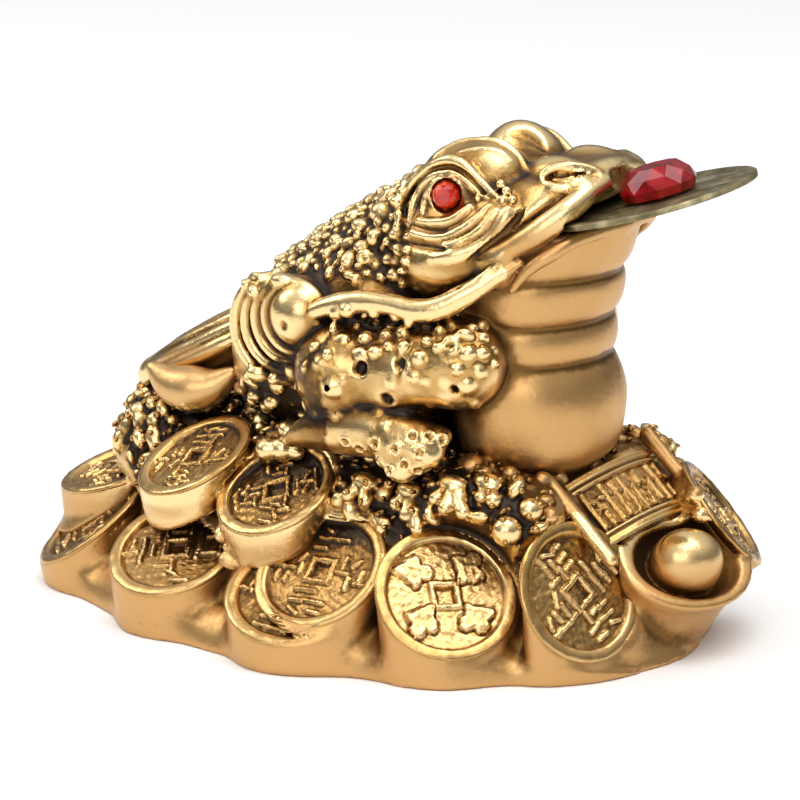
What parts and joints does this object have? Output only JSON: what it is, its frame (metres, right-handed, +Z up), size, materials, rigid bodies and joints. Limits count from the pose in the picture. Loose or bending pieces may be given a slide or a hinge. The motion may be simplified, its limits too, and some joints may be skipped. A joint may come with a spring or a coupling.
{
  "type": "money toad figure",
  "caption": "Cast resin toad painted gold, sitting on a heap of coins, with a thin brass coin and a red gem in its mouth; a desk or shelf ornament.",
  "frame": {"origin": "middle of the flat underside, below the middle of the heap of coins, on the toad's plane of symmetry", "axes": "+X forward, the way the toad looks; +Y to the toad's left; +Z up"},
  "size_m": [0.0867, 0.057, 0.056],
  "materials": {
    "gold_paint": "metallic gold paint over cast resin, with a black-brown wash left in the hollows",
    "aged_brass": "thin stamped brass, dark and mottled with age, with a bright rim",
    "red_gem": "clear red faceted acrylic with a foil back, drawn as glossy red"
  },
  "bodies": {
    "root": {"toad_casting": "gold_paint", "mouth_coin": "aged_brass", "coin_gem": "red_gem", "eye_gem_right": "red_gem", "eye_gem_left": "red_gem"}
  },
  "joints": []
}
